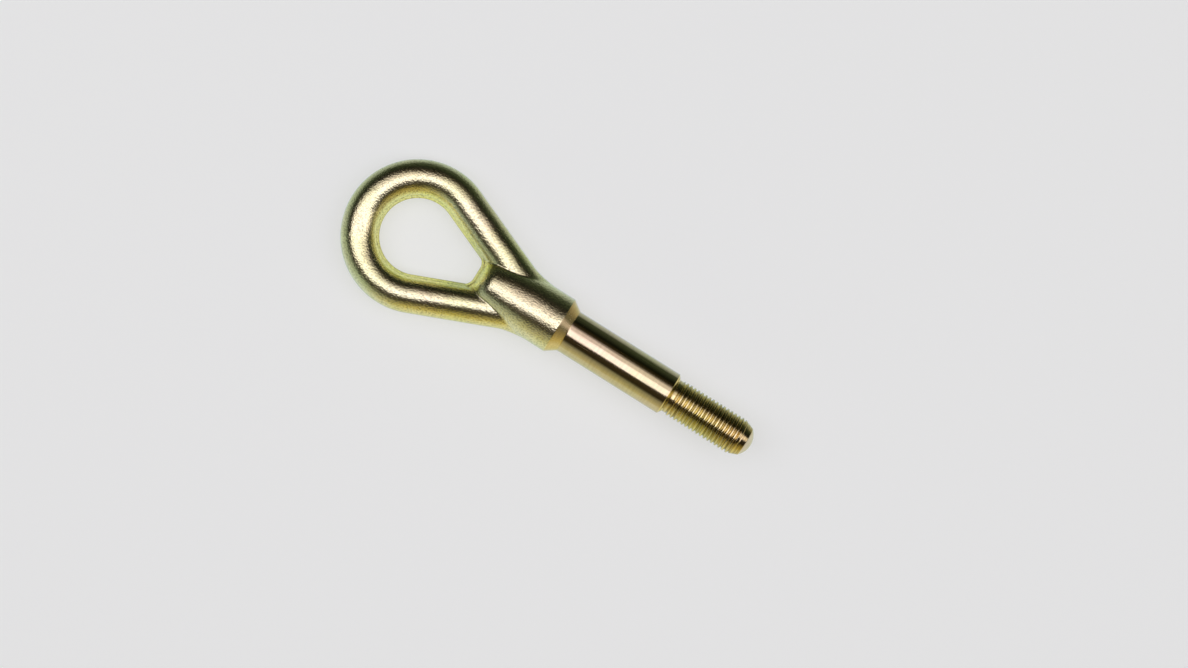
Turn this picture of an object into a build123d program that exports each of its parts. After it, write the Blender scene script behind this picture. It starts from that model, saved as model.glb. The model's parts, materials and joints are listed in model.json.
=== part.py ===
from build123d import *
import os
from math import asin, atan2, cos, degrees, radians, sin, tan

# A forged tow eye: a teardrop loop of round bar, a barrel-shaped neck, a plain turned shank and a threaded tip.
# Lengths are in millimetres and angles in degrees. The shank's axis is X, from the eye towards the tip,
# and the loop lies in the XY plane. The origin is on the axis where the plain shank starts.

# Loop
eye_inner_diameter = 37.5
bar_diameter = 17.0
leg_half_angle = 22.5
eye_to_shank = 82.6
opening_reach = 33.1

# Crotch: the drafted wall that closes the opening between the legs
crotch_draft = 20.0
crotch_nose_radius = 6.0
crotch_edge_radius = 4.3
flash_width = 1.0
flash_thickness = 1.4
flash_corner_radius = 3.0

# Neck and seat cone
neck_diameter = 28.0
neck_crotch_diameter = 19.6
neck_land_length = 11.5
neck_edge_radius = 0.6
valley_radius = 1.2
seat_length = 5.0
seat_root_radius = 1.0

# Shank and threaded tip
shank_diameter = 21.0
shank_length = 54.0
shoulder_length = 1.6
relief_length = 1.7
thread_diameter = 18.0
thread_pitch = 2.0
thread_length = 33.0
tip_taper_length = 4.9
tip_diameter = 14.0
dome_height = 3.0

# A rolled thread starts from a blank of the pitch diameter: the crest's diameter, less this share of the pitch
BLANK_DEPTH_RATIO = 0.64952

# Places along the axis that the pieces of the forging share
alpha = radians(leg_half_angle)
bar_radius = bar_diameter / 2
eye_inner_radius = eye_inner_diameter / 2
eye_radius = eye_inner_radius + bar_radius
eye_x = -eye_to_shank
crotch_x = eye_x + opening_reach
neck_radius = neck_diameter / 2
shank_radius = shank_diameter / 2
seat_angle = atan2(neck_radius - shank_radius, seat_length)
seat_corner_x = -seat_root_radius * tan(seat_angle / 2)
neck_front_x = seat_corner_x - seat_length
neck_land_x = neck_front_x - neck_land_length


def loop_bar():
    """Round bar bent to a teardrop: a ring sector, and two straight legs that leave it tangentially."""
    ring_axis = Axis((eye_x, 0, 0), (0, 0, 1))
    tangent_x = eye_x + eye_radius * sin(alpha)
    tangent_y = eye_radius * cos(alpha)
    ring_start = Plane((tangent_x, tangent_y, 0), z_dir=(-cos(alpha), sin(alpha), 0))
    bar = revolve(ring_start * Circle(bar_radius), ring_axis, 180 + 2 * leg_half_angle)
    leg_length = eye_radius / tan(alpha)
    for side in (1, -1):
        leg_start = Plane((tangent_x, side * tangent_y, 0), z_dir=(cos(alpha), -side * sin(alpha), 0))
        bar += extrude(leg_start * Circle(bar_radius), leg_length)
    return bar


def turned_body():
    """Neck, seat cone, shank, thread and domed tip as one profile turned about the axis.

    The neck swells on an arc from the crotch to its land. Between the shank's shoulder and the thread the blank
    is bare, and the thread is a plain cylinder at its crest.
    """
    swell_rise = (neck_diameter - neck_crotch_diameter) / 2
    swell_run = neck_land_x - crotch_x
    swell_radius = (swell_run**2 + swell_rise**2) / (2 * swell_rise)
    swell_back_x = crotch_x - swell_rise
    swell_angle = degrees(asin((neck_land_x - swell_back_x) / swell_radius))
    swell = CenterArc((neck_land_x, neck_radius - swell_radius), swell_radius, 90, swell_angle)

    thread_radius = thread_diameter / 2
    relief_radius = thread_radius - BLANK_DEPTH_RATIO * thread_pitch / 2
    tip_radius = tip_diameter / 2
    relief_x = shank_length + shoulder_length
    thread_start_x = relief_x + relief_length + thread_radius - relief_radius
    thread_end_x = thread_start_x + thread_length
    dome_x = thread_end_x + tip_taper_length
    dome_radius = (tip_radius**2 + dome_height**2) / (2 * dome_height)
    dome_end = (dome_x + dome_height, 0)

    forged = FilletPolyline(
        (neck_land_x, neck_radius),
        (neck_front_x, neck_radius),
        (seat_corner_x, shank_radius),
        (shank_length, shank_radius),
        radius=[neck_edge_radius, seat_root_radius],
    )
    turned = Polyline(
        (shank_length, shank_radius),
        (relief_x, relief_radius),
        (relief_x + relief_length, relief_radius),
        (thread_start_x, thread_radius),
        (thread_end_x, thread_radius),
        (dome_x, tip_radius),
    )
    dome = RadiusArc((dome_x, tip_radius), dome_end, dome_radius)
    axis_line = Polyline(dome_end, (swell_back_x, 0), swell @ 1)
    return revolve(make_face([swell, forged, turned, dome, axis_line]), Axis.X)


def crotch_cutter():
    """Prism across the neck: two drafted walls that meet at the loop's plane in a rounded nose."""
    draft = radians(crotch_draft)
    reach = neck_diameter
    corner_x = crotch_x - crotch_nose_radius * (1 / cos(draft) - 1)
    top = (corner_x + reach * tan(draft), reach)
    bottom = (corner_x + reach * tan(draft), -reach)
    wall = FilletPolyline(top, (corner_x, 0), bottom, radius=crotch_nose_radius)
    back_x = corner_x - reach
    back = Polyline(bottom, (back_x, -reach), (back_x, reach), top)
    return extrude(Plane.XZ * make_face([wall, back]), reach, both=True)


def flash_land():
    """Rim of trimmed flash that stands into the opening all round, at the loop's plane."""
    corner_y = (eye_inner_radius - opening_reach * sin(alpha)) / cos(alpha)
    tangent_x = eye_x + eye_inner_radius * sin(alpha)
    tangent_y = eye_inner_radius * cos(alpha)
    ring_side = CenterArc((eye_x, 0), eye_inner_radius, 90 - leg_half_angle, 180 + 2 * leg_half_angle)
    leg_side = FilletPolyline(
        (tangent_x, tangent_y),
        (crotch_x, corner_y),
        (crotch_x, -corner_y),
        (tangent_x, -tangent_y),
        radius=flash_corner_radius,
    )
    opening = make_face([ring_side, leg_side])
    rim = offset(opening, amount=bar_radius / 2) - offset(opening, amount=-flash_width)
    return extrude(rim, flash_thickness / 2, both=True)


def tow_eye():
    """The forging: neck with its rounded crotch, blended into the legs, with the flash rim in the opening."""
    blank = turned_body()
    cutter = crotch_cutter()
    cut = blank - cutter
    neck = fillet(new_edges(blank, cutter, combined=cut), crotch_edge_radius)
    loop = loop_bar()
    joined = loop + neck
    blended = fillet(new_edges(loop, neck, combined=joined), valley_radius)
    return blended + flash_land()


os.makedirs("parts", exist_ok=True)
export_step(tow_eye(), "parts/tow_eye.step")
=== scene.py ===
import json
from math import atan2, cos, pi, radians, sin, tan

import bmesh
import bpy
import numpy as np
from bpy.props import FloatProperty, FloatVectorProperty, IntProperty, PointerProperty
from mathutils import Matrix, Vector


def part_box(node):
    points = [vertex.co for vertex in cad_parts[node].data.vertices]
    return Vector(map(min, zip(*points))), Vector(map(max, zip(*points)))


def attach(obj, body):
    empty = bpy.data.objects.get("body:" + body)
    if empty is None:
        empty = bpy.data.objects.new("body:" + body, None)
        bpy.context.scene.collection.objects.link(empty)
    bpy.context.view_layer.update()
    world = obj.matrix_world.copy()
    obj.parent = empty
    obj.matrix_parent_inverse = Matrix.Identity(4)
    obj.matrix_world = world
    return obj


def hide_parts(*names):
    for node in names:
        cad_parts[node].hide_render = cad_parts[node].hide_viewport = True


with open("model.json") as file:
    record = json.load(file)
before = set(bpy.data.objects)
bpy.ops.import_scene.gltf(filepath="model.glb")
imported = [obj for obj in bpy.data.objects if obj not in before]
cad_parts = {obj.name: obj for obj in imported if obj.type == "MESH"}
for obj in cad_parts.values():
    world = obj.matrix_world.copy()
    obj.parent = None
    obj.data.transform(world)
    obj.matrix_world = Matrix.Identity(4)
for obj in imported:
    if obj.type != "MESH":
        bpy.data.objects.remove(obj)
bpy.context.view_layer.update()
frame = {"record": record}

bl_info = {
    "name": "Forged tow eye",
    "version": (1, 0, 0),
    "blender": (4, 5, 0),
    "location": "3D View > Sidebar > Tow eye",
    "description": "Builds a forged, yellow passivated tow eye with a rolled thread, in a pale studio",
    "category": "Add Mesh",
}

NODE = "tow_eye"
BODY = "root"
MM = 0.001
_, NODE_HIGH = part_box(NODE)
MOUNTS = {mount["name"]: mount for mount in frame["record"]["mounts"]}
SHANK = MOUNTS["shank"]["dims"]
THREAD = MOUNTS["thread"]["dims"]

# Root and rolling blank of a metric thread: the crest's diameter, less these shares of the pitch
ROOT_DEPTH_RATIO = 1.22687
BLANK_DEPTH_RATIO = 0.64952

# Pitches from where a groove crosses the loop's plane, at +Y, to the next crest on top, at +Z
CREST_ON_TOP = 0.75

# Interval halvings that bring a search from centimetres down to far less than a micrometre
HALVINGS = 46

# A height that is clear of the body, in neck radii
CLEAR_HEIGHT = 1.2

# How far to each side the crease is searched for, and the share of it at each end that eases into its bend
CREASE_REACH = 3.0 * MM
CREASE_EASE = 0.06

# Lines of the body's quarter: round the ring, along the leg, towards the crease and away from it
RING_LINES = 66
LEG_LINES = 44
FAN_LINES = 46
TURN_LINES = 30

# Power by which lines crowd at the crease, and the share of its sight angle where only neck is left
CROWDING = 1.7
TURN_END = 0.7

# On each line: samples of the surface, the shares of its length that the mesh keeps, and steps up the flash
LINE_SAMPLES = 241
LINE_SHARES = np.concatenate([[0, 0.004], np.linspace(0.016, 1, 64)])
FLASH_STEPS = 8
FLASH_POWER = 1.5

# Steps along the turned end
LAND_STEP = 1.0 * MM
SHANK_STEP = 1.5 * MM
SHOULDER_STEP = 0.4 * MM
PITCH_STEPS = 14
ARC_STEPS = 5
DOME_STEPS = 13

# Points nearer than this are one point
WELD = 0.002 * MM

# Passivate: where a noise starts a patch and fills it, and how a finer noise mottles the brightness
PATCH_RANGE = (0.42, 0.66)
MOTTLE_FINENESS = 9.0
MOTTLE_RANGE = (0.3, 0.7)
MOTTLE_LEVELS = (0.93, 1.04)

# Handling marks: scales of their noise along and across the axis, what density adds to it, its peaks,
# and the roughness that a mark adds
MARK_SCALES = (60, 1900, 1900)
MARK_GAIN = 0.1
MARK_RANGE = (0.74, 0.82)
MARK_DULLING = 0.15

# Where a noise turns from pit to grain, and from a dark ring or turn of the thread to a bright one
PIT_RANGE = (0.37, 0.5)
GRAIN_LEVEL = 1.05
RING_RANGE = (0.3, 0.6)
TURN_RANGE = (0.35, 0.6)

# Painted shade in the thread's roots: their colour level, where that of its crests is 1
ROOT_SHADE_LEVEL = 0.85

# A quarter turn from the way round the axis to the way along it
ALONG_AXIS = 0.25

# Steps of the card's arc, and the share of its radius that is all heart
CARD_STEPS = 48
CARD_HEART = 0.4


def length_property(name, description, metres):
    """A length that a user may change, with its default in metres."""
    return FloatProperty(name=name, description=description, default=metres, unit="LENGTH", precision=5)


def size_property(name, description, millimetres):
    """A length that a user may change, with its default in millimetres."""
    return length_property(name, description, millimetres * MM)


def angle_property(name, description, degrees):
    """An angle that a user may change, with its default in degrees."""
    return FloatProperty(name=name, description=description, default=radians(degrees), subtype="ANGLE")


def share_property(name, description, default):
    """A share from 0 to 1 that a user may change."""
    limits = {"min": 0, "max": 1}
    return FloatProperty(name=name, description=description, default=default, subtype="FACTOR", **limits)


def row_property(name, description, default, **settings):
    """A row of numbers that a user may change."""
    return FloatVectorProperty(
        name=name, description=description, default=default, size=len(default), **settings
    )


def colour_property(name, description, default):
    """A linear colour that a user may change."""
    return row_property(name, description, default, min=0, max=1, subtype="COLOR")


def direction_property(name, description, default):
    """A direction that a user may change."""
    return row_property(name, description, default, subtype="DIRECTION")


def angles_property(name, description, degrees):
    """A row of angles that a user may change, with their defaults in degrees."""
    return row_property(name, description, [radians(angle) for angle in degrees], unit="ROTATION")


class TowEyeSizes(bpy.types.PropertyGroup):
    """Sizes of the forging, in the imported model's frame."""

    eye_x: length_property("Eye place", "The eye's centre on the axis", MOUNTS["eye"]["pos_m"][0])
    ring_radius: length_property("Ring radius", "Outer radius of the ring", NODE_HIGH.y)
    bar_radius: size_property("Bar radius", "Radius of the bar that the loop is bent from", 8.5)
    leg_half_angle: angle_property("Leg angle", "Angle between each leg and the axis", 22.5)
    opening_reach: size_property("Opening reach", "From the eye's centre to the crotch wall", 33.1)
    crotch_draft: angle_property("Crotch draft", "Draft of the crotch wall, above and below", 20.0)
    crotch_nose: size_property("Crotch nose", "Radius of the crotch wall's nose at the loop's plane", 6.0)
    crotch_edge: size_property("Crotch edge", "Radius of the rounding on top of the crotch wall", 4.3)
    valley_radius: size_property("Valley radius", "Blend of a leg and the neck, on top", 0.35)
    corner_radius: size_property("Corner radius", "Blend of a leg and the neck, at the loop's plane", 3.0)
    corner_height: size_property("Corner height", "Height over which the blend tightens", 4.0)
    flash_width: size_property("Flash width", "How far the trimmed flash stands into the opening", 1.0)
    flash_root: size_property("Flash root", "Half thickness of the trimmed flash at the wall", 2.0)
    neck_radius: length_property("Neck radius", "Radius of the neck at its land", NODE_HIGH.z)
    neck_crotch_radius: size_property("Neck root radius", "Radius of the neck at the crotch wall", 9.8)
    neck_land: size_property("Neck land", "Length of the neck's widest stretch", 11.5)
    neck_edge: size_property("Neck edge", "Rounding between the neck's land and the seat cone", 0.6)
    seat_length: size_property("Seat length", "Length of the seat cone", 5.0)
    seat_root: size_property("Seat root", "Rounding between the seat cone and the shank", 1.0)
    shank_radius: size_property("Shank radius", "Radius of the plain shank", SHANK["r_mm"])
    shank_length: size_property("Shank length", "Length of the plain shank", SHANK["length_mm"])
    thread_radius: size_property("Thread radius", "Radius over the thread's crests", THREAD["r_mm"])
    thread_length: size_property("Thread length", "Length of the full thread", THREAD["length_mm"])
    thread_pitch: size_property("Thread pitch", "From one crest to the next", 2.0)
    crest_width: size_property("Crest width", "Width of the thread's flat crest", 0.72)
    flank_angle: angle_property("Flank angle", "Angle between the thread's two flanks", 60.0)
    crest_edge: size_property("Crest edge", "How softly a crest turns into its flanks", 0.05)
    shoulder: size_property("Shoulder", "Length of the chamfer that ends the shank", 1.6)
    relief_length: size_property("Relief length", "Bare blank between the shoulder and the thread", 1.7)
    first_crest: size_property("First crest", "From the shank's end to the first crest on top", 4.0)
    tip_taper: size_property("Tip taper", "Length over which the tip narrows", 4.9)
    tip_radius: size_property("Tip radius", "Radius where the taper meets the dome", 7.0)
    edge_break: size_property("Edge break", "Rounding of the turned edges", 0.15)
    facets: IntProperty(name="Facets", description="Steps around the shank", default=96, min=24, step=4)


class TowEyeFinish(bpy.types.PropertyGroup):
    """Colours and textures of the passivated plating."""

    blasted_colour: colour_property("Blasted", "Passivate on the blasted loop and neck", (0.88, 0.83, 0.43))
    seat_colour: colour_property("Seat", "Passivate on the turned seat cone", (0.84, 0.70, 0.36))
    turned_colour: colour_property("Turned", "Passivate on the turned shank", (0.77, 0.64, 0.36))
    rolled_colour: colour_property("Rolled", "Passivate on the thread and its taper", (0.90, 0.76, 0.33))
    faced_colour: colour_property("Faced", "Thin passivate on the domed end", (0.88, 0.83, 0.70))
    lime_shift: colour_property("Lime shift", "Tint where the film is thinner", (0.96, 1.0, 0.88))
    blush_shift: colour_property("Blush shift", "Tint where the film is thicker", (1.0, 0.95, 0.98))
    edge_tint: colour_property("Edge tint", "Tint of reflections at a glancing angle", (0.93, 1.0, 0.95))
    patch_size: size_property("Patch size", "Size of the colour patches", 24)
    grain_size: size_property("Grain size", "Size of the blasted surface's grain", 0.8)
    grain_depth: size_property("Grain depth", "Depth of the blasted surface's grain", 0.12)
    pit_depth: share_property("Pit depth", "How much darker the pits of the grain are", 0.26)
    swell_size: size_property("Swell size", "Size of the forging's unevenness", 14)
    swell_depth: size_property("Swell depth", "Depth of the forging's unevenness", 0.5)
    ring_spacing: size_property("Ring spacing", "Spacing of the tool's rings on the shank", 1.1)
    ring_depth: size_property("Ring depth", "Depth of the tool's rings on the shank", 0.012)
    ring_contrast: share_property("Ring contrast", "How much darker some of the tool's rings are", 0.08)
    thread_contrast: share_property("Thread contrast", "How much darker some of its turns are", 0.4)
    line_depth: size_property("Line depth", "Depth of the lines drawn along the shank", 0.012)
    mark_density: share_property("Mark density", "How many handling marks there are", 0.4)
    mark_depth: share_property("Mark depth", "How much darker a handling mark is", 0.12)
    blasted_roughness: share_property("Blasted roughness", "Roughness of the loop and neck", 0.23)
    seat_roughness: share_property("Seat roughness", "Roughness of the seat cone", 0.22)
    seat_stretch: share_property("Seat stretch", "How far rings draw the seat's reflections out", 0.9)
    turned_roughness: share_property("Turned roughness", "Roughness of the shank and dome", 0.17)
    turned_stretch: share_property("Turned stretch", "The same, on the shank and dome", 0.8)
    rolled_roughness: share_property("Rolled roughness", "Roughness of the thread and its taper", 0.16)


class TowEyeStudio(bpy.types.PropertyGroup):
    """Floor, lamps and camera."""

    floor_colour: colour_property("Floor colour", "Pale grey of floor and backdrop", (0.765, 0.765, 0.765))
    floor_matt: colour_property("Floor matt", "Light that the floor throws back", (0.435, 0.465, 0.372))
    floor_glow: share_property("Floor glow", "Share of its colour that the camera sees without light", 0.70)
    floor_reach: length_property("Floor reach", "From the floor's middle to its edges", 4.0)
    card_colour: colour_property("Card", "Warm glow of the rim of the opening's card", (0.90, 0.92, 0.12))
    card_crotch: colour_property("Card crotch", "Glow of the card's rim at the crotch", (0.57, 0.62, 0.50))
    card_heart: colour_property("Card heart", "Pale glow of the card's middle", (0.76, 0.80, 0.66))
    zenith_colour: colour_property("Zenith", "The dim room over the part", (0.035, 0.026, 0.013))
    zenith_steps: row_property("Zenith steps", "Cosines where the zenith starts and is full", (0.5, 0.75))
    room_colour: colour_property("Room", "The dim room around the part", (0.006, 0.007, 0.004))
    dim_colour: colour_property("Dim", "The room below the part, off the field", (0.05, 0.065, 0.045))
    dim_steps: row_property("Dim steps", "Cosines where the dim room starts and is full", (-0.45, 0.1))
    dusk_warm: colour_property("Dusk, warm", "Field's outer step, towards the tip", (0.27, 0.21, 0.08))
    dusk_cool: colour_property("Dusk, cool", "Field's outer step, towards the loop", (0.32, 0.37, 0.40))
    olive_warm: colour_property("Olive, warm", "Field's middle step, towards the tip", (0.60, 0.50, 0.19))
    olive_cool: colour_property("Olive, cool", "Field's middle step, towards the loop", (0.53, 0.60, 0.68))
    pale_warm: colour_property("Pale, warm", "Field's heart, towards the tip", (0.74, 0.70, 0.50))
    pale_cool: colour_property("Pale, cool", "Field's heart, towards the loop", (0.66, 0.73, 0.95))
    warm_toward: direction_property("Warm side", "Where the pale field is warm", (0.95, -0.31, 0.0))
    warm_steps: row_property("Warm steps", "Cosines where the warmth starts and is full", (-0.1, 0.6))
    field_middle: direction_property("Field middle", "Where the pale field is", (0.13, -0.43, -0.89))
    field_steps: row_property(
        "Field steps",
        "Cosines where the room ends, and dusk, olive and pale are reached",
        (-0.23, -0.01, 0.45, 0.64),
    )
    panel_distance: length_property("Panel distance", "From the part to the lamps", 1.6)
    panel_slant: angle_property("Panel slant", "Turn of the panels against the picture's width", -12.0)
    panel_leans: angles_property(
        "Panel leans", "How far the panel and its two fringes lie up the picture", (-3.8, 19.2, 32.6)
    )
    panel_wide: angle_property("Panel width", "Half angle of the panels across the picture", 46.0)
    panel_depths: angles_property(
        "Panel depths", "Half angles of the panel and its two fringes up the picture", (13.6, 9.6, 3.8)
    )
    panel_levels: row_property(
        "Panel levels", "How bright the panel and its two fringes look", (2.2, 1.0, 0.28)
    )
    panel_colour: colour_property("Panel colour", "Cool white of the panel", (0.76, 0.72, 1.0))
    fringe_colour: colour_property("Fringe colour", "Cool white of the fringes", (0.84, 0.77, 1.0))
    end_toward: direction_property("End glow", "Where the pale glow below the tip is", (0.90, 0.0, -0.44))
    end_steps: row_property("End glow steps", "Cosines where it starts and is full", (0.72, 0.93))
    end_colour: colour_property("End glow colour", "Colour of the pale glow", (0.68, 0.64, 0.55))
    rose_toward: direction_property("Rose", "Where the rosy glow past the tip is", (0.79, 0.25, 0.56))
    rose_steps: row_property("Rose steps", "Cosines where it starts and is full", (0.968, 0.992))
    rose_colour: colour_property("Rose colour", "Colour of the rosy glow", (0.96, 0.84, 1.0))
    rose_level: FloatProperty(
        name="Rose level", description="How bright the rosy glow looks", default=1.3, min=0
    )
    frame_width: size_property("Frame width", "Width that the picture shows at the part", 548.7)
    roll: angle_property("Roll", "Turn of the picture about the viewing direction", 32.1)
    aim: row_property(
        "Aim",
        "Point at the middle of the picture",
        (10.3 * MM, 5.1 * MM, 0.0),
        subtype="TRANSLATION",
        unit="LENGTH",
    )
    lens: FloatProperty(name="Lens", description="Focal length of the camera", default=85.0, unit="CAMERA")


def fillet_union(a, b, radius):
    """Signed distance to the union of two shapes, with a fillet of this radius in the valley between them.

    It is the lower of the two distances, less the part of a quarter circle that fills the corner.
    """
    corner = np.hypot(np.maximum(radius - a, 0), np.maximum(radius - b, 0))
    return np.maximum(radius, np.minimum(a, b)) - corner


def rounded_common(a, b, radius):
    """Signed distance to what two shapes share, with their edge rounded to this radius.

    It is the higher of the two distances, with the corner taken back to a quarter circle.
    """
    corner = np.hypot(np.maximum(radius + a, 0), np.maximum(radius + b, 0))
    return np.minimum(-radius, np.maximum(a, b)) + corner


def crossing(distance, low, high):
    """Where a signed distance that rises from low to high passes zero, by halving the interval."""
    for _ in range(HALVINGS):
        middle = (low + high) / 2
        inside = distance(middle) < 0
        low = np.where(inside, middle, low)
        high = np.where(inside, high, middle)
    return (low + high) / 2


class ForgedForm:
    """The loop and neck as a signed distance, and the places along the axis that the pieces share."""

    def __init__(self, sizes):
        self.sizes = sizes
        self.alpha = sizes.leg_half_angle
        self.bar_radius = sizes.bar_radius
        self.spine_radius = sizes.ring_radius - sizes.bar_radius
        self.inner_radius = sizes.ring_radius - 2 * sizes.bar_radius
        self.eye_x = sizes.eye_x
        self.crotch_x = sizes.eye_x + sizes.opening_reach
        self.leg_along = np.array([cos(self.alpha), -sin(self.alpha)])
        self.leg_across = np.array([sin(self.alpha), cos(self.alpha)])

        seat_angle = atan2(sizes.neck_radius - sizes.shank_radius, sizes.seat_length)
        self.seat_x = -sizes.seat_root * tan(seat_angle / 2)
        self.neck_front_x = self.seat_x - sizes.seat_length
        self.land_x = self.neck_front_x - sizes.neck_land
        rise = sizes.neck_radius - sizes.neck_crotch_radius
        run = self.land_x - self.crotch_x
        self.swell_radius = (run**2 + rise**2) / (2 * rise)

        clear_y = sizes.neck_radius - sizes.corner_radius / cos(self.alpha)
        self.join_x = self.eye_x + (sizes.ring_radius - clear_y * cos(self.alpha)) / sin(self.alpha)

        self.root_radius = sizes.thread_radius - ROOT_DEPTH_RATIO * sizes.thread_pitch / 2
        self.blank_radius = sizes.thread_radius - BLANK_DEPTH_RATIO * sizes.thread_pitch / 2
        self.relief_x = sizes.shank_length + sizes.shoulder
        self.relief_end_x = self.relief_x + sizes.relief_length
        self.thread_x = self.relief_end_x + sizes.thread_radius - self.blank_radius
        self.thread_end_x = self.thread_x + sizes.thread_length
        self.groove_x = sizes.shank_length + sizes.first_crest - CREST_ON_TOP * sizes.thread_pitch
        self.dome_x = self.thread_end_x + sizes.tip_taper

    def bar(self, x, y, z):
        """Distance to the loop's bar: to its spine, a circle with two tangent lines, less its radius."""
        across = np.abs(y)
        from_eye = x - self.eye_x
        along_leg = from_eye * self.leg_along[0] + across * self.leg_along[1]
        off_leg = from_eye * self.leg_across[0] + across * self.leg_across[1]
        off_spine = np.where(along_leg > 0, off_leg, np.hypot(from_eye, across)) - self.spine_radius
        return np.hypot(off_spine, z) - self.bar_radius

    def neck(self, x, y, z):
        """Distance to the neck: an arc turned about the axis, cut by the drafted crotch wall.

        The wall's trace is a hyperbola whose arms are the two drafts and whose tip is the nose, and the
        cut's edge is rounded.
        """
        sizes = self.sizes
        from_axis = np.hypot(y, z)
        from_centre = np.hypot(x - self.land_x, from_axis - sizes.neck_radius + self.swell_radius)
        arc = from_centre - self.swell_radius
        swell = np.where(x < self.land_x, arc, from_axis - sizes.neck_radius)
        nose = sizes.crotch_nose * (1 / cos(sizes.crotch_draft) - 1)
        slope = tan(sizes.crotch_draft)
        wall_x = self.crotch_x - nose + slope * np.hypot(z, nose / slope)
        wall = (wall_x - x) * cos(sizes.crotch_draft)
        return rounded_common(swell, wall, sizes.crotch_edge)

    def body(self, x, y, z):
        """Distance to loop and neck together, blended along their valley.

        From the loop's plane upwards, the blend tightens on a bell curve from the corner to the valley.
        """
        sizes = self.sizes
        bell = np.exp(-((z / sizes.corner_height) ** 2))
        radius = sizes.valley_radius + (sizes.corner_radius - sizes.valley_radius) * bell
        return fillet_union(self.bar(x, y, z), self.neck(x, y, z), radius)

    def height(self, x, y):
        """Height of the body's upper surface over points in the loop's plane."""
        top = np.full(x.shape, CLEAR_HEIGHT * self.sizes.neck_radius)
        return crossing(lambda z: self.body(x, y, z), np.zeros(x.shape), top)

    def leaning(self, point, z):
        """How much farther a point is from the neck than from the bar: zero on the crease between them."""
        x, y = point[:, 0], point[:, 1]
        return self.neck(x, y, z) - self.bar(x, y, z)


def plan_lines(form, steps_neck):
    """Inner and outer ends of the lines that a quarter of the body is hung on, in the loop's plane.

    From the far side of the ring they follow the spine's normals along ring and leg. Then they fan out and
    crowd towards the crease between leg and neck, leave it again, and end as lines from the crotch wall
    to the neck's section at join_x. The last array says how far each line bends with the crease.
    """
    sizes = form.sizes
    centre = np.array([form.eye_x, 0.0])

    angle = np.linspace(pi, pi / 2 - form.alpha, RING_LINES)
    ring_across = np.stack([np.cos(angle), np.sin(angle)], axis=1)
    ring_spine = centre + form.spine_radius * ring_across

    corner_x = sizes.opening_reach - sizes.corner_radius
    corner_y = (form.inner_radius - sizes.corner_radius - corner_x * sin(form.alpha)) / cos(form.alpha)
    corner = np.array([corner_x, corner_y]) @ form.leg_along
    along = np.linspace(0, corner, LEG_LINES + 1)[1:, None]
    leg_spine = centre + form.spine_radius * form.leg_across + along * form.leg_along
    leg_across = np.broadcast_to(form.leg_across, leg_spine.shape)

    spine = np.concatenate([ring_spine, leg_spine])
    across = np.concatenate([ring_across, leg_across])

    # Each rim is searched for around the distance at which it is expected
    def off_spine(side):
        def distance(step):
            point = spine + side * step[:, None] * across
            return form.body(point[:, 0], point[:, 1], 0.0)

        reach = np.full(len(spine), form.bar_radius)
        return spine + side * crossing(distance, 0.5 * reach, 1.5 * reach)[:, None] * across

    def inner_rim(sight):
        toward = np.stack([np.cos(sight), np.sin(sight)], axis=1)

        def distance(step):
            point = centre + step[:, None] * toward
            return -form.body(point[:, 0], point[:, 1], 0.0)

        reach = np.full(len(sight), sizes.opening_reach)
        return centre + crossing(distance, 0.5 * reach, 1.3 * reach)[:, None] * toward

    def outer_rim(x):
        far = np.full(len(x), sizes.ring_radius)
        y = crossing(lambda y: form.body(x, y, 0.0), np.zeros(len(x)), far)
        return np.stack([x, y], axis=1)

    bar_inner = off_spine(-1)
    bar_outer = off_spine(1)
    start_sight = atan2(bar_inner[-1, 1], bar_inner[-1, 0] - form.eye_x)
    start_x = bar_outer[-1, 0]
    crease_sight = crossing(
        lambda sight: form.leaning(inner_rim(sight), 0.0), np.array([0.0]), np.array([start_sight])
    )[0]
    crease_x = crossing(
        lambda x: -form.leaning(outer_rim(x), 0.0), np.array([start_x]), np.array([form.join_x])
    )[0]

    near = 1 - (1 - np.linspace(0, 1, FAN_LINES + 1)[1:]) ** CROWDING
    leave = np.linspace(0, 1, TURN_LINES + 1)[1:] ** CROWDING
    turn_sight = TURN_END * crease_sight
    sight = np.concatenate(
        [
            start_sight + near * (crease_sight - start_sight),
            crease_sight + leave * (turn_sight - crease_sight),
            np.linspace(turn_sight, 0, steps_neck + 1)[1:],
        ]
    )
    rim_x = np.concatenate(
        [start_x + near * (crease_x - start_x), crease_x + leave * (form.join_x - crease_x)]
    )
    theta = np.linspace(0, pi / 2, steps_neck + 1)[1:]
    neck_outer = np.stack([np.full(steps_neck, form.join_x), sizes.neck_radius * np.cos(theta)], axis=1)

    inner = np.concatenate([bar_inner, inner_rim(sight)])
    outer = np.concatenate([bar_outer, outer_rim(rim_x), neck_outer])
    inner[[0, -1], 1] = 0.0
    outer[[0, -1], 1] = 0.0
    rim_height = np.zeros(len(outer))
    rim_height[-steps_neck:] = sizes.neck_radius * np.sin(theta)
    bend = np.concatenate([np.zeros(len(bar_inner)), near**2, (1 - leave) ** 2, np.zeros(steps_neck)])
    return inner, outer, rim_height, bend


def crease_offsets(form, inner_end, outer_end, share):
    """How far the crease between leg and neck leaves the straight way between its ends, square to that way.

    At each share of the way it lies where the surface is as far from the bar as from the neck, which halving
    an interval across the way finds.
    """
    way = outer_end - inner_end
    side = np.array([-way[1], way[0]]) / np.hypot(*way)
    side *= np.sign(side @ form.leg_across)
    middle = inner_end + share[:, None] * way

    def leaning(step):
        point = middle + step[:, None] * side
        return form.leaning(point, form.height(point[:, 0], point[:, 1]))

    reach = np.full(len(share), CREASE_REACH)
    step = crossing(leaning, -reach, reach)
    ease = np.clip(np.minimum(share, 1 - share) / CREASE_EASE, 0, 1)
    return (step * ease)[:, None] * side


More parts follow.
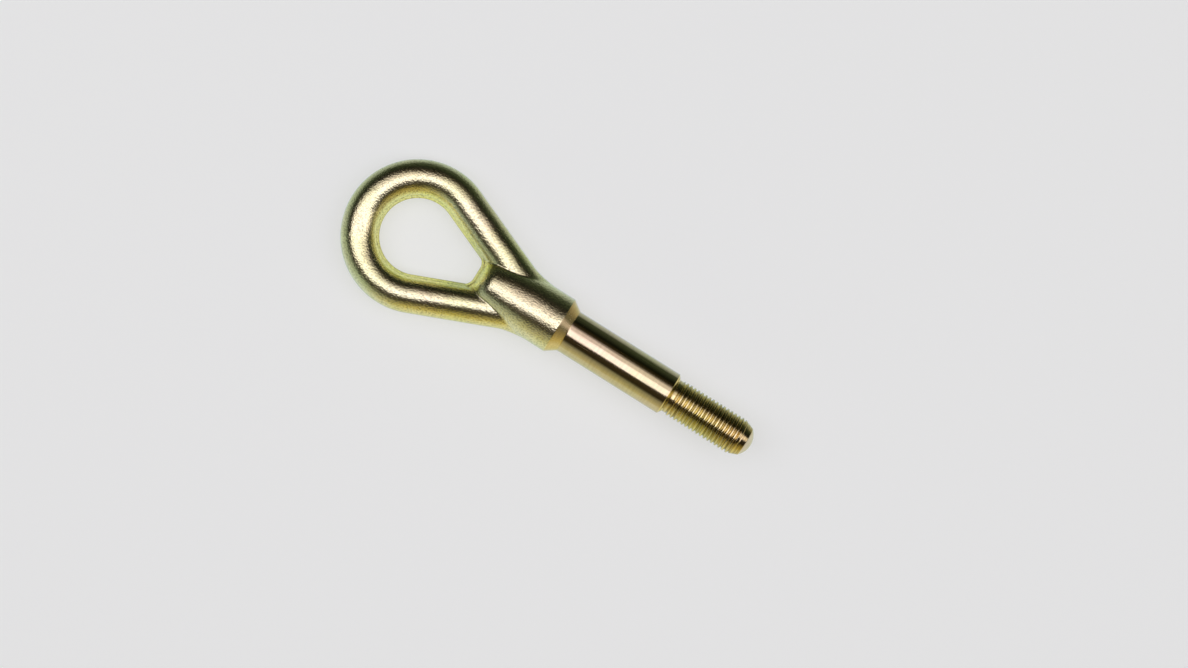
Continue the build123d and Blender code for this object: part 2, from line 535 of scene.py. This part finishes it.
def resample(places, values, targets):
    """Each row of values, known at places from 0 to 1, read at its own targets by straight interpolation."""
    row = 2.0 * np.arange(len(places))[:, None]
    read = np.interp((targets + row).ravel(), (places + row).ravel(), values.ravel())
    return read.reshape(targets.shape)


def quarter_body(form):
    """Grid of points for the quarter of the body where y and z are positive.

    One parameter runs round the loop, line by line. The other runs over each line: up the flash, whose reach
    falls as a power of the height that is left, then over the surface from the inner to the outer side, at
    even steps of its own length. The height over a line's point is where the signed distance passes zero.
    """
    sizes = form.sizes
    inner, outer, rim_height, bend = plan_lines(form, sizes.facets // 4)
    share = (1 - np.cos(np.linspace(0, pi, LINE_SAMPLES))) / 2
    crease = np.argmax(bend)
    bow = crease_offsets(form, inner[crease], outer[crease], share)
    x = inner[:, :1] + share * (outer[:, :1] - inner[:, :1]) + bend[:, None] * bow[:, 0]
    y = inner[:, 1:] + share * (outer[:, 1:] - inner[:, 1:]) + bend[:, None] * bow[:, 1]
    z = form.height(x, y)
    z[:, 0] = 0.0
    z[:, -1] = rim_height

    step = np.sqrt(np.diff(x) ** 2 + np.diff(y) ** 2 + np.diff(z) ** 2)
    run = np.concatenate([np.zeros((len(x), 1)), np.cumsum(step, axis=1)], axis=1)
    run /= run[:, -1:]
    above = np.argmax(z > sizes.flash_root, axis=1)[:, None]
    low_z, high_z = np.take_along_axis(z, above - 1, 1), np.take_along_axis(z, above, 1)
    low_run, high_run = np.take_along_axis(run, above - 1, 1), np.take_along_axis(run, above, 1)
    start = low_run + (high_run - low_run) * (sizes.flash_root - low_z) / (high_z - low_z)
    targets = start + (1 - start) * LINE_SHARES
    surface = np.stack([resample(run, values, targets) for values in (x, y, z)], axis=2)

    along = np.gradient(inner, axis=0)
    into = np.stack([-along[:, 1], along[:, 0]], axis=1) / np.hypot(along[:, :1], along[:, 1:])
    into *= np.sign(np.sum(into * (outer - inner), axis=1))[:, None]
    into[0] = (-1, 0)
    into[-1] = (1, 0)
    up = np.linspace(0, 1, FLASH_STEPS, endpoint=False)
    reach = sizes.flash_width * (1 - up) ** FLASH_POWER
    rise = sizes.flash_root * up
    edge = inner[:, None, :] - reach[:, None] * into[:, None, :]
    flash = np.concatenate([edge, np.broadcast_to(rise[:, None], (len(inner), len(rise), 1))], axis=2)
    return np.concatenate([flash, surface], axis=1)


def rounded_outline(corners):
    """Points along a line through corners (x, r, rounding, step), each turned into a tangent arc.

    A corner's arc starts and ends at its rounding times the tangent of half the turn away from it. Its step
    is the spacing of the points from there to the next corner.
    """
    corners = np.array(corners)
    points, rounding, spacing = corners[:, :2], corners[:, 2], corners[:, 3]
    way = np.diff(points, axis=0)
    way /= np.hypot(way[:, :1], way[:, 1:])
    turn = np.zeros(len(points))
    turn[1:-1] = np.arctan2(
        way[:-1, 0] * way[1:, 1] - way[:-1, 1] * way[1:, 0], np.sum(way[:-1] * way[1:], axis=1)
    )
    trim = rounding * np.tan(np.abs(turn) / 2)
    pieces = []
    for index, direction in enumerate(way):
        first = points[index] + trim[index] * direction
        last = points[index + 1] - trim[index + 1] * direction
        count = max(2, int(np.ceil(np.hypot(*(last - first)) / spacing[index])) + 1)
        pieces.append(first + np.linspace(0, 1, count)[:, None] * (last - first))
        bend = turn[index + 1]
        if rounding[index + 1] > 0:
            normal = np.sign(bend) * np.array([-direction[1], direction[0]])
            middle = last + rounding[index + 1] * normal
            swing = np.linspace(0, bend, ARC_STEPS + 1)[1:-1]
            spoke = -rounding[index + 1] * normal
            arc_x = middle[0] + spoke[0] * np.cos(swing) - spoke[1] * np.sin(swing)
            arc_r = middle[1] + spoke[0] * np.sin(swing) + spoke[1] * np.cos(swing)
            pieces.append(np.stack([arc_x, arc_r], axis=1))
    outline = np.concatenate(pieces)
    keep = np.concatenate([[True], np.hypot(*np.diff(outline, axis=0).T) > WELD])
    return outline[keep]


def thread_radius_at(form, x, theta):
    """Radius of the thread: a V groove that moves one pitch along in one turn, between flat crests.

    The drop below the crest is a hyperbola, whose arms are the crest and the groove's flank. It grows from
    nothing at the shoulder's foot to its whole depth where the full thread starts.
    """
    sizes = form.sizes
    turns = (x - form.groove_x) / sizes.thread_pitch - theta / (2 * pi)
    off_groove = np.abs((turns + 0.5) % 1.0 - 0.5) * sizes.thread_pitch
    drop = ((sizes.thread_pitch - sizes.crest_width) / 2 - off_groove) / tan(sizes.flank_angle / 2)
    runout = np.clip((x - form.relief_x) / (form.thread_x - form.relief_x), 0, 1)
    return sizes.thread_radius - runout * (drop + np.hypot(drop, sizes.crest_edge)) / 2


def turned_grid(form):
    """Grid of points for the neck's land, seat cone, shank, thread and domed tip.

    A profile is turned about the axis in even steps, and in the thread's stretch the radius is the lower of
    the profile and the thread's ridge.
    """
    sizes = form.sizes
    broken = sizes.edge_break
    fine = sizes.thread_pitch / PITCH_STEPS
    corners = [
        (form.join_x, sizes.neck_radius, 0, LAND_STEP),
        (form.neck_front_x, sizes.neck_radius, sizes.neck_edge, LAND_STEP),
        (form.seat_x, sizes.shank_radius, sizes.seat_root, SHANK_STEP),
        (sizes.shank_length, sizes.shank_radius, broken, SHOULDER_STEP),
        (form.relief_x, form.blank_radius, broken, fine),
        (form.relief_end_x, form.blank_radius, broken, fine),
        (form.thread_x, sizes.thread_radius, broken, fine),
        (form.thread_end_x, sizes.thread_radius, broken, fine),
        (form.dome_x, sizes.tip_radius, 0, fine),
    ]
    dome_height = NODE_HIGH.x - form.dome_x
    dome_radius = (sizes.tip_radius**2 + dome_height**2) / (2 * dome_height)
    dome_angle = np.linspace(np.arcsin(sizes.tip_radius / dome_radius), 0, DOME_STEPS + 1)[1:]
    dome_x = NODE_HIGH.x - dome_radius * (1 - np.cos(dome_angle))
    dome = np.stack([dome_x, dome_radius * np.sin(dome_angle)], axis=1)
    outline = np.concatenate([rounded_outline(corners), dome])

    theta = np.linspace(0, 2 * pi, sizes.facets + 1)
    x = np.broadcast_to(outline[:, :1], (len(outline), len(theta)))
    radius = np.broadcast_to(outline[:, 1:], x.shape)
    threaded = x > form.relief_x
    radius = np.where(threaded, np.minimum(radius, thread_radius_at(form, x, theta)), radius)
    return np.stack([x, radius * np.cos(theta), radius * np.sin(theta)], axis=2)


def grid_faces(rows, columns, first):
    """Corner numbers of the quads between neighbouring rows and columns of a grid of points."""
    corner = first + np.arange(rows * columns).reshape(rows, columns)
    quads = [corner[:-1, :-1], corner[1:, :-1], corner[1:, 1:], corner[:-1, 1:]]
    return np.stack(quads, axis=2).reshape(-1, 4)


def mesh_from_grids(name, grids):
    """One closed mesh from grids of points: shared rims are welded and the faces are turned outwards."""
    faces = []
    first = 0
    for grid in grids:
        faces.append(grid_faces(grid.shape[0], grid.shape[1], first))
        first += grid.shape[0] * grid.shape[1]
    points = np.concatenate([grid.reshape(-1, 3) for grid in grids])
    mesh = bpy.data.meshes.new(name)
    mesh.from_pydata(points.tolist(), [], np.concatenate(faces).tolist())
    shell = bmesh.new()
    shell.from_mesh(mesh)
    bmesh.ops.remove_doubles(shell, verts=shell.verts, dist=WELD)
    bmesh.ops.recalc_face_normals(shell, faces=shell.faces)
    loose = [edge for edge in shell.edges if not edge.is_manifold]
    if loose:
        raise RuntimeError(f"{name} is not closed: {len(loose)} edges, first at {loose[0].verts[0].co[:]}")
    shell.to_mesh(mesh)
    shell.free()
    mesh.shade_smooth()
    return mesh


def add_object(name, data):
    """A new object at the origin, in the scene's own collection."""
    made = bpy.data.objects.new(name, data)
    bpy.context.scene.collection.objects.link(made)
    return made


def place(tree, kind, inputs=None, **settings):
    """Outputs of a new shader node. An input given as a socket is linked, and any other value is set."""
    made = tree.nodes.new("ShaderNode" + kind)
    for name, value in settings.items():
        setattr(made, name, value)
    for name, value in (inputs or {}).items():
        if isinstance(value, bpy.types.NodeSocket):
            tree.links.new(value, made.inputs[name])
        else:
            made.inputs[name].default_value = value
    return made.outputs


def noise(tree, spot, scale, detail, roughness=0.5):
    """A noise of the place, from 0 to 1."""
    inputs = {"Vector": spot, "Scale": scale, "Detail": detail, "Roughness": roughness}
    return place(tree, "TexNoise", inputs)["Fac"]


def ranged(tree, value, source, target=(0, 1), **settings):
    """A value taken from the source range to the target range, and held inside it."""
    ends = {"From Min": source[0], "From Max": source[1], "To Min": target[0], "To Max": target[1]}
    return place(tree, "MapRange", {"Value": value, **ends}, **settings)[0]


def scaled(tree, colour, value, source, target):
    """A colour times a level that follows a value, from the source range to the target range."""
    level = ranged(tree, value, source, target)
    return place(tree, "VectorMath", {0: colour, "Scale": level}, operation="SCALE")[0]


def mixed(tree, share, first, second, blend="MIX"):
    """A colour on the way from the first to the second, by a share from 0 to 1."""
    inputs = {"Factor": share, 6: first, 7: second}
    return place(tree, "Mix", inputs, data_type="RGBA", blend_type=blend)[2]


def rgba(colour):
    """A colour with full alpha, as node sockets take it."""
    return (*colour, 1.0)


def new_group(name, inputs, outputs):
    """A shader node group with named sockets; returns its tree, its inner inputs and its output node."""
    tree = bpy.data.node_groups.new(name, "ShaderNodeTree")
    for socket, kind, default in inputs:
        made = tree.interface.new_socket(socket, in_out="INPUT", socket_type=kind)
        if default is not None:
            made.default_value = default
    for socket, kind in outputs:
        tree.interface.new_socket(socket, in_out="OUTPUT", socket_type=kind)
    entry = tree.nodes.new("NodeGroupInput")
    leave = tree.nodes.new("NodeGroupOutput")
    return tree, entry.outputs, leave


def passivate_group():
    """Colour of the yellow passivate: one colour that drifts to lime and to blush in soft patches.

    Two noises read at places far apart say where the shifts multiply it, and a finer one mottles its
    brightness.
    """
    tree, entry, leave = new_group(
        "passivate colour",
        [
            ("Position", "NodeSocketVector", None),
            ("Patch Scale", "NodeSocketFloat", 40.0),
            ("Colour", "NodeSocketColor", None),
            ("Lime Shift", "NodeSocketColor", None),
            ("Blush Shift", "NodeSocketColor", None),
        ],
        [("Colour", "NodeSocketColor")],
    )
    colour = entry["Colour"]
    for shift, away in (("Lime Shift", (0, 0, 0)), ("Blush Shift", (0.31, 0.17, 0.23))):
        spot = place(tree, "VectorMath", {0: entry["Position"], 1: away}, operation="ADD")[0]
        patch = noise(tree, spot, entry["Patch Scale"], 3.0, 0.55)
        share = ranged(tree, patch, PATCH_RANGE, interpolation_type="SMOOTHSTEP")
        colour = mixed(tree, share, colour, entry[shift], "MULTIPLY")
    fine = place(tree, "Math", {0: entry["Patch Scale"], 1: MOTTLE_FINENESS}, operation="MULTIPLY")[0]
    mottle = noise(tree, entry["Position"], fine, 4.0, 0.6)
    mottled = scaled(tree, colour, mottle, MOTTLE_RANGE, MOTTLE_LEVELS)
    tree.links.new(mottled, leave.inputs["Colour"])
    return tree


def marks_group():
    """Lines that run along the axis, and where handling has marked the plating, from 0 to 1.

    The lines are a noise that is drawn out along X, and its highest peaks are the marks: short scratches.
    """
    tree, entry, leave = new_group(
        "handling marks",
        [("Position", "NodeSocketVector", None), ("Density", "NodeSocketFloat", 0.5)],
        [("Mask", "NodeSocketFloat"), ("Lines", "NodeSocketFloat")],
    )
    drawn = place(tree, "VectorMath", {0: entry["Position"], 1: MARK_SCALES}, operation="MULTIPLY")[0]
    lines = noise(tree, drawn, 1.0, 1.0, 0.4)
    raised = place(tree, "Math", {0: entry["Density"], 1: MARK_GAIN, 2: lines}, operation="MULTIPLY_ADD")[0]
    tree.links.new(ranged(tree, raised, MARK_RANGE), leave.inputs["Mask"])
    tree.links.new(lines, leave.inputs["Lines"])
    return tree


def plated_metal(name, finish, groups, colour, roughness):
    """A metal under yellow passivate that handling has marked.

    Returns its material, its tree, its shader, its Object coordinates, its colour and its lines, for the
    finish to go on.
    """
    material = bpy.data.materials.new(name)
    material.use_nodes = True
    tree = material.node_tree
    shader = tree.nodes["Principled BSDF"]
    position = place(tree, "TexCoord")["Object"]
    film = {
        "Position": position,
        "Patch Scale": 1 / finish.patch_size,
        "Colour": rgba(colour),
        "Lime Shift": rgba(finish.lime_shift),
        "Blush Shift": rgba(finish.blush_shift),
    }
    film_colour = place(tree, "Group", film, node_tree=groups["passivate"])["Colour"]
    handling = {"Position": position, "Density": finish.mark_density}
    marks = place(tree, "Group", handling, node_tree=groups["marks"])
    toned = scaled(tree, film_colour, marks["Mask"], (0, 1), (1, 1 - finish.mark_depth))
    dulled = ranged(tree, marks["Mask"], (0, 1), (roughness, roughness + MARK_DULLING))
    tree.links.new(toned, shader.inputs["Base Color"])
    tree.links.new(dulled, shader.inputs["Roughness"])
    shader.inputs["Metallic"].default_value = 1.0
    shader.inputs["Specular Tint"].default_value = rgba(finish.edge_tint)
    return material, tree, shader, position, toned, marks["Lines"]


def emboss(tree, shader, layers):
    """Bump the shader's surface by the sum of some heights from 0 to 1, each times its depth in metres."""
    height = 0.0
    for relief, depth in layers:
        height = place(tree, "Math", {0: relief, 1: depth, 2: height}, operation="MULTIPLY_ADD")[0]
    bump = place(tree, "Bump", {"Height": height, "Strength": 1.0, "Distance": 1.0})
    tree.links.new(bump["Normal"], shader.inputs["Normal"])


def blasted_zinc(finish, groups):
    """Loop and neck: a blasted forging. Its grain breaks reflections up, and its pits are darker."""
    material, tree, shader, position, film, _ = plated_metal(
        "blasted zinc", finish, groups, finish.blasted_colour, finish.blasted_roughness
    )
    grain = noise(tree, position, 1 / finish.grain_size, 1.0)
    swell = noise(tree, position, 1 / finish.swell_size, 1.0)
    emboss(tree, shader, [(swell, finish.swell_depth), (grain, finish.grain_depth)])
    pitted = scaled(tree, film, grain, PIT_RANGE, (1 - finish.pit_depth, GRAIN_LEVEL))
    tree.links.new(pitted, shader.inputs["Base Color"])
    return material


def tool_rings(tree, position, finish):
    """Height of the rings that the tool leaves round the axis: a noise of the place along X alone."""
    along = place(tree, "SeparateXYZ", {"Vector": position})["X"]
    inputs = {"W": along, "Scale": 1 / finish.ring_spacing, "Detail": 2.0, "Roughness": 0.6}
    return place(tree, "TexNoise", inputs, noise_dimensions="1D")["Fac"]


def turned_zinc(name, finish, groups, colour, roughness, stretch):
    """Seat cone, shank and dome: turned steel, whose tool rings draw reflections out along the axis."""
    material, tree, shader, position, film, lines = plated_metal(name, finish, groups, colour, roughness)
    rings = tool_rings(tree, position, finish)
    emboss(tree, shader, [(lines, finish.line_depth), (rings, finish.ring_depth)])
    ringed = scaled(tree, film, rings, RING_RANGE, (1 - finish.ring_contrast, 1.0))
    tree.links.new(ringed, shader.inputs["Base Color"])
    around = place(tree, "Tangent", direction_type="RADIAL", axis="X")[0]
    tree.links.new(around, shader.inputs["Tangent"])
    shader.inputs["Anisotropic"].default_value = stretch
    shader.inputs["Anisotropic Rotation"].default_value = ALONG_AXIS
    return material


def rolled_zinc(finish, groups, root_radius, crest_radius):
    """Shoulder, thread and taper: golden on the crests, and darker in the roots by painted shade."""
    material, tree, shader, position, film, _ = plated_metal(
        "rolled zinc", finish, groups, finish.rolled_colour, finish.rolled_roughness
    )
    cross = place(tree, "VectorMath", {0: position, 1: (0, 1, 1)}, operation="MULTIPLY")[0]
    radius = place(tree, "VectorMath", {0: cross}, operation="LENGTH")["Value"]
    # Painted shade: the colour darkens from the crests' radius down to the roots' radius
    toned = scaled(tree, film, radius, (root_radius, crest_radius), (ROOT_SHADE_LEVEL, 1.0))
    rings = tool_rings(tree, position, finish)
    ringed = scaled(tree, toned, rings, TURN_RANGE, (1 - finish.thread_contrast, 1.0))
    tree.links.new(ringed, shader.inputs["Base Color"])
    return material


class TOWEYE_OT_forging(bpy.types.Operator):
    """Build the forging: loop, neck, seat cone, shank and thread as one closed mesh."""

    bl_idname = "toweye.forging"
    bl_label = "Build forging"

    def execute(self, context):
        sizes = context.scene.tow_eye_sizes
        finish = context.scene.tow_eye_finish
        form = ForgedForm(sizes)
        quarter = quarter_body(form)
        mirrors = [np.array([1, side, face]) for side in (1, -1) for face in (1, -1)]
        grids = [quarter * mirror for mirror in mirrors] + [turned_grid(form)]
        mesh = mesh_from_grids("forging", grids)

        groups = {"passivate": passivate_group(), "marks": marks_group()}
        seat_look = (finish.seat_colour, finish.seat_roughness, finish.seat_stretch)
        turned_look = (finish.turned_colour, finish.turned_roughness, finish.turned_stretch)
        faced_look = (finish.faced_colour, finish.turned_roughness, finish.turned_stretch)
        along_axis = (
            blasted_zinc(finish, groups),
            turned_zinc("seat zinc", finish, groups, *seat_look),
            turned_zinc("turned zinc", finish, groups, *turned_look),
            rolled_zinc(finish, groups, form.root_radius, sizes.thread_radius),
            turned_zinc("faced zinc", finish, groups, *faced_look),
        )
        for material in along_axis:
            mesh.materials.append(material)
        zone_ends = (form.neck_front_x, form.seat_x, sizes.shank_length, form.dome_x)
        centres = np.empty(3 * len(mesh.polygons))
        mesh.polygons.foreach_get("center", centres)
        zones = np.searchsorted(zone_ends, centres[::3]).astype(np.int32)
        mesh.polygons.foreach_set("material_index", zones)

        piece = add_object("forging", mesh)
        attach(piece, BODY)
        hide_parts(NODE)
        return {"FINISHED"}


def add_panel(name, toward, distance, across, angles, radiance, colour):
    """A soft rectangular lamp that faces the part, seen from it in a direction and under two half angles.

    Its width runs along the direction across, and it looks this bright, where 1 is white.
    """
    back = Vector(toward).normalized()
    right = (Vector(across) - back * back.dot(Vector(across))).normalized()
    up = back.cross(right)
    lamp = bpy.data.lights.new(name, "AREA")
    lamp.shape = "RECTANGLE"
    lamp.size = 2 * distance * tan(angles[0])
    lamp.size_y = 2 * distance * tan(angles[1])
    lamp.energy = radiance * pi * lamp.size * lamp.size_y
    lamp.color = colour
    made = add_object(name, lamp)
    turn = Matrix((right, up, back)).transposed().to_4x4()
    made.matrix_world = Matrix.Translation(back * distance) @ turn
    made.visible_camera = False


def stage_material(name):
    """A material for the stage, and its empty tree."""
    material = bpy.data.materials.new(name)
    material.use_nodes = True
    material.node_tree.nodes.clear()
    return material, material.node_tree


def camera_sees(tree, seen, otherwise):
    """One shader for what the camera sees, and another one for all other rays."""
    camera_ray = place(tree, "LightPath")["Is Camera Ray"]
    return place(tree, "MixShader", {"Fac": camera_ray, 1: otherwise, 2: seen})[0]


def pale_floor(studio):
    """Floor: matt, with a glow for the camera alone that brings it to the pale colour of the backdrop."""
    material, tree = stage_material("pale floor")
    matt = place(tree, "BsdfDiffuse", {"Color": rgba(studio.floor_matt)})[0]
    own = {"Color": rgba(studio.floor_colour), "Strength": studio.floor_glow}
    both = place(tree, "AddShader", {0: matt, 1: place(tree, "Emission", own)[0]})[0]
    place(tree, "OutputMaterial", {"Surface": camera_sees(tree, both, matt)})
    return material


def opening_card(studio, form):
    """Card under the opening, which only reflections see: an arc about the eye, and two corners.

    Its glow goes with the distance from the eye's centre, from pale in the middle to warm at the rim, and
    the rim pales from the eye's centre towards the crotch.
    """
    sizes = form.sizes
    angle = np.linspace(pi / 2 - form.alpha, 1.5 * pi + form.alpha, CARD_STEPS + 1)
    corner_y = (form.inner_radius - sizes.opening_reach * sin(form.alpha)) / cos(form.alpha)
    arc = form.inner_radius * np.stack([np.cos(angle), np.sin(angle)], axis=1)
    outline = np.concatenate([arc, [[sizes.opening_reach, -corner_y], [sizes.opening_reach, corner_y]]])
    eye = (form.eye_x, 0, -sizes.neck_radius)
    points = np.pad(outline, ((0, 0), (0, 1))) + eye
    mesh = bpy.data.meshes.new("opening card")
    mesh.from_pydata(points.tolist(), [], [list(range(len(points)))])

    material, tree = stage_material("opening card")
    position = place(tree, "TexCoord")["Object"]
    along = place(tree, "SeparateXYZ", {"Vector": position})["X"]
    near_crotch = ranged(tree, along, (form.eye_x, form.eye_x + form.inner_radius))
    rim = mixed(tree, near_crotch, rgba(studio.card_colour), rgba(studio.card_crotch))
    away = place(tree, "VectorMath", {0: position, 1: eye}, operation="DISTANCE")["Value"]
    near_rim = ranged(tree, away, (CARD_HEART * form.inner_radius, form.inner_radius))
    colour = mixed(tree, near_rim, rgba(studio.card_heart), rim)
    glow = place(tree, "Emission", {"Color": colour, "Strength": 1.0})[0]
    place(tree, "OutputMaterial", {"Surface": glow})
    mesh.materials.append(material)

    card = add_object("opening card", mesh)
    card.visible_camera = False
    card.visible_diffuse = False
    card.visible_shadow = False


def studio_world(studio):
    """World: the camera sees the floor's colour. The part sees a dim room with a pale field below it.

    The field brightens in straight steps with the cosine between a direction and the field's middle, from
    the room by way of dusk and olive to pale. It is warm on one side and cool on the other. Past the tip
    lie a pale glow, which the domed end mirrors, and a rosy one.
    """
    world = bpy.data.worlds.new("studio")
    world.use_nodes = True
    tree = world.node_tree
    tree.nodes.clear()
    direction = place(tree, "TexCoord")["Generated"]

    def rising(toward, steps):
        inputs = {0: direction, 1: Vector(toward).normalized()}
        return ranged(tree, place(tree, "VectorMath", inputs, operation="DOT_PRODUCT")["Value"], steps)

    zenith = rising((0, 0, 1), studio.zenith_steps)
    lit = mixed(tree, zenith, rgba(studio.room_colour), rgba(studio.zenith_colour))
    lit = mixed(tree, rising((0, 0, -1), studio.dim_steps), lit, rgba(studio.dim_colour))
    warmth = rising(studio.warm_toward, studio.warm_steps)
    tones = (
        (studio.dusk_cool, studio.dusk_warm),
        (studio.olive_cool, studio.olive_warm),
        (studio.pale_cool, studio.pale_warm),
    )
    for index, (cool, warm) in enumerate(tones):
        tone = mixed(tree, warmth, rgba(cool), rgba(warm))
        lit = mixed(tree, rising(studio.field_middle, studio.field_steps[index : index + 2]), lit, tone)
    lit = mixed(tree, rising(studio.end_toward, studio.end_steps), lit, rgba(studio.end_colour))
    rose = rgba(studio.rose_level * Vector(studio.rose_colour))
    lit = mixed(tree, rising(studio.rose_toward, studio.rose_steps), lit, rose)
    around = place(tree, "Background", {"Color": lit, "Strength": 1.0})[0]
    backdrop = place(tree, "Background", {"Color": rgba(studio.floor_colour), "Strength": 1.0})[0]
    place(tree, "OutputWorld", {"Surface": camera_sees(tree, backdrop, around)})
    return world


class TOWEYE_OT_stage(bpy.types.Operator):
    """Set the pale floor, the soft lamps and the camera of the photograph's view."""

    bl_idname = "toweye.stage"
    bl_label = "Set stage"

    def execute(self, context):
        scene = context.scene
        studio = scene.tow_eye_studio
        sizes = scene.tow_eye_sizes
        form = ForgedForm(sizes)
        scene.view_settings.view_transform = "Standard"

        # The part rests on the neck's land and on the far side of the ring, so the floor slopes between them
        span = form.land_x - (form.eye_x - form.spine_radius)
        slope = Matrix.Rotation(atan2(sizes.neck_radius - sizes.bar_radius, span), 4, "Y")
        corner = np.array([[-1, -1, 0], [1, -1, 0], [1, 1, 0], [-1, 1, 0]]) * studio.floor_reach
        mesh = bpy.data.meshes.new("floor")
        mesh.from_pydata(corner.tolist(), [], [(0, 1, 2, 3)])
        mesh.transform(Matrix.Translation((form.land_x, 0, -sizes.neck_radius)) @ slope)
        mesh.materials.append(pale_floor(studio))
        floor = add_object("floor", mesh)
        floor.visible_glossy = False
        opening_card(studio, form)

        scene.world = studio_world(studio)
        slant = Matrix.Rotation(studio.roll, 3, "Z") @ Matrix.Rotation(studio.panel_slant, 3, "Z")
        across = slant @ Vector((1, 0, 0))
        upward = slant @ Vector((0, 1, 0))
        colours = (studio.panel_colour, studio.fringe_colour, studio.fringe_colour)
        panels = zip(studio.panel_leans, studio.panel_depths, studio.panel_levels, colours)
        for lean, deep, level, colour in panels:
            toward = Vector((0, 0, cos(lean))) + upward * sin(lean)
            angles = (studio.panel_wide, deep)
            add_panel("overhead panel", toward, studio.panel_distance, across, angles, level, colour)

        camera = add_object("camera", bpy.data.cameras.new("camera"))
        camera.data.lens = studio.lens
        distance = studio.frame_width / camera.data.sensor_width * studio.lens
        camera.location = Vector(studio.aim) + Vector((0, 0, distance))
        camera.rotation_euler = (0, 0, studio.roll)
        scene.camera = camera
        return {"FINISHED"}


class TOWEYE_PT_panel(bpy.types.Panel):
    """Sizes, finish and studio of the tow eye, with the buttons that build them."""

    bl_idname = "TOWEYE_PT_panel"
    bl_label = "Tow eye"
    bl_space_type = "VIEW_3D"
    bl_region_type = "UI"
    bl_category = "Tow eye"

    def draw(self, context):
        for group in ("tow_eye_sizes", "tow_eye_finish", "tow_eye_studio"):
            settings = getattr(context.scene, group)
            box = self.layout.box()
            for name in settings.__annotations__:
                box.prop(settings, name)
        self.layout.operator(TOWEYE_OT_forging.bl_idname)
        self.layout.operator(TOWEYE_OT_stage.bl_idname)


CLASSES = (
    TowEyeSizes,
    TowEyeFinish,
    TowEyeStudio,
    TOWEYE_OT_forging,
    TOWEYE_OT_stage,
    TOWEYE_PT_panel,
)


def register():
    for cls in CLASSES:
        bpy.utils.register_class(cls)
    bpy.types.Scene.tow_eye_sizes = PointerProperty(type=TowEyeSizes)
    bpy.types.Scene.tow_eye_finish = PointerProperty(type=TowEyeFinish)
    bpy.types.Scene.tow_eye_studio = PointerProperty(type=TowEyeStudio)


def unregister():
    del bpy.types.Scene.tow_eye_studio
    del bpy.types.Scene.tow_eye_finish
    del bpy.types.Scene.tow_eye_sizes
    for cls in reversed(CLASSES):
        bpy.utils.unregister_class(cls)


def main():
    register()
    bpy.ops.toweye.forging()
    bpy.ops.toweye.stage()


if __name__ == "__main__":
    main()
